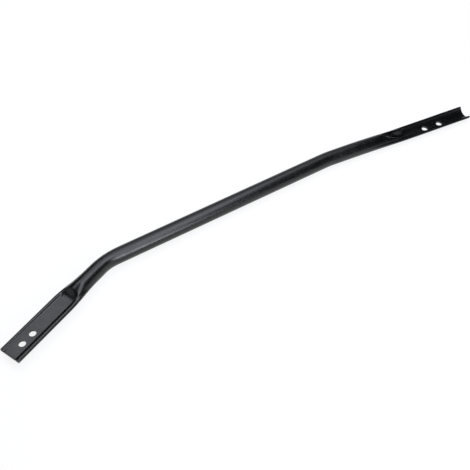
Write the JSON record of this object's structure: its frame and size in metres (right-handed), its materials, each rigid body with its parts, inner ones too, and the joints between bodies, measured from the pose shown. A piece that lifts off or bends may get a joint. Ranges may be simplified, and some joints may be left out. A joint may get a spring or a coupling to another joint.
{
  "type": "lawn mower handle rail",
  "caption": "Bent black steel tube, lower rail of a mower handle: a beaded flat with bolt holes at the deck end and a half-round saddle with bolt holes at the upper end.",
  "frame": {"origin": "middle of the two deck bolt holes, on the underside of the flat, which is the face that seats on the deck bracket", "axes": "+X along the upper leg to its open end, +Z out of the pressed side, the side the beads and the open saddle face"},
  "size_m": [0.7691, 0.1552, 0.022],
  "materials": {
    "black_paint": "smooth semi-gloss black paint"
  },
  "bodies": {
    "root": {"handle_tube": "black_paint"}
  },
  "joints": []
}
